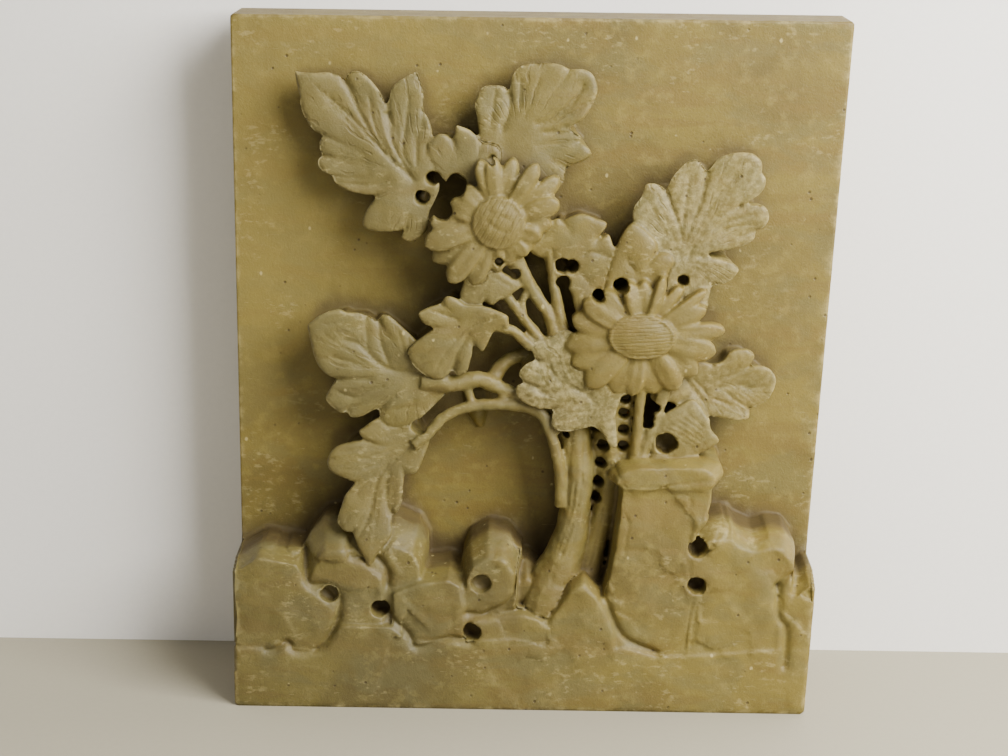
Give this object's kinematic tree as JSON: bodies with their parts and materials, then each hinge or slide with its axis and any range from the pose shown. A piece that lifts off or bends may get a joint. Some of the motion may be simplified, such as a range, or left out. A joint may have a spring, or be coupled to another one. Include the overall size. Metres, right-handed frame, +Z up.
{
  "type": "soapstone plaque",
  "caption": "Upright carved soapstone plaque: chrysanthemum spray, gnarled trunk, rocks and a stone pillar in deep relief on a plain panel.",
  "frame": {"origin": "middle of the underside's bounding rectangle, on the surface that the plaque stands on", "axes": "+Z up the panel, +X to the right seen from the front, +Y from the carved front to the flat back"},
  "size_m": [0.127, 0.0318, 0.145],
  "materials": {
    "soapstone": "waxed olive-cream soapstone with brown dirt in the recesses"
  },
  "bodies": {
    "root": {"plaque": "soapstone"}
  },
  "joints": []
}
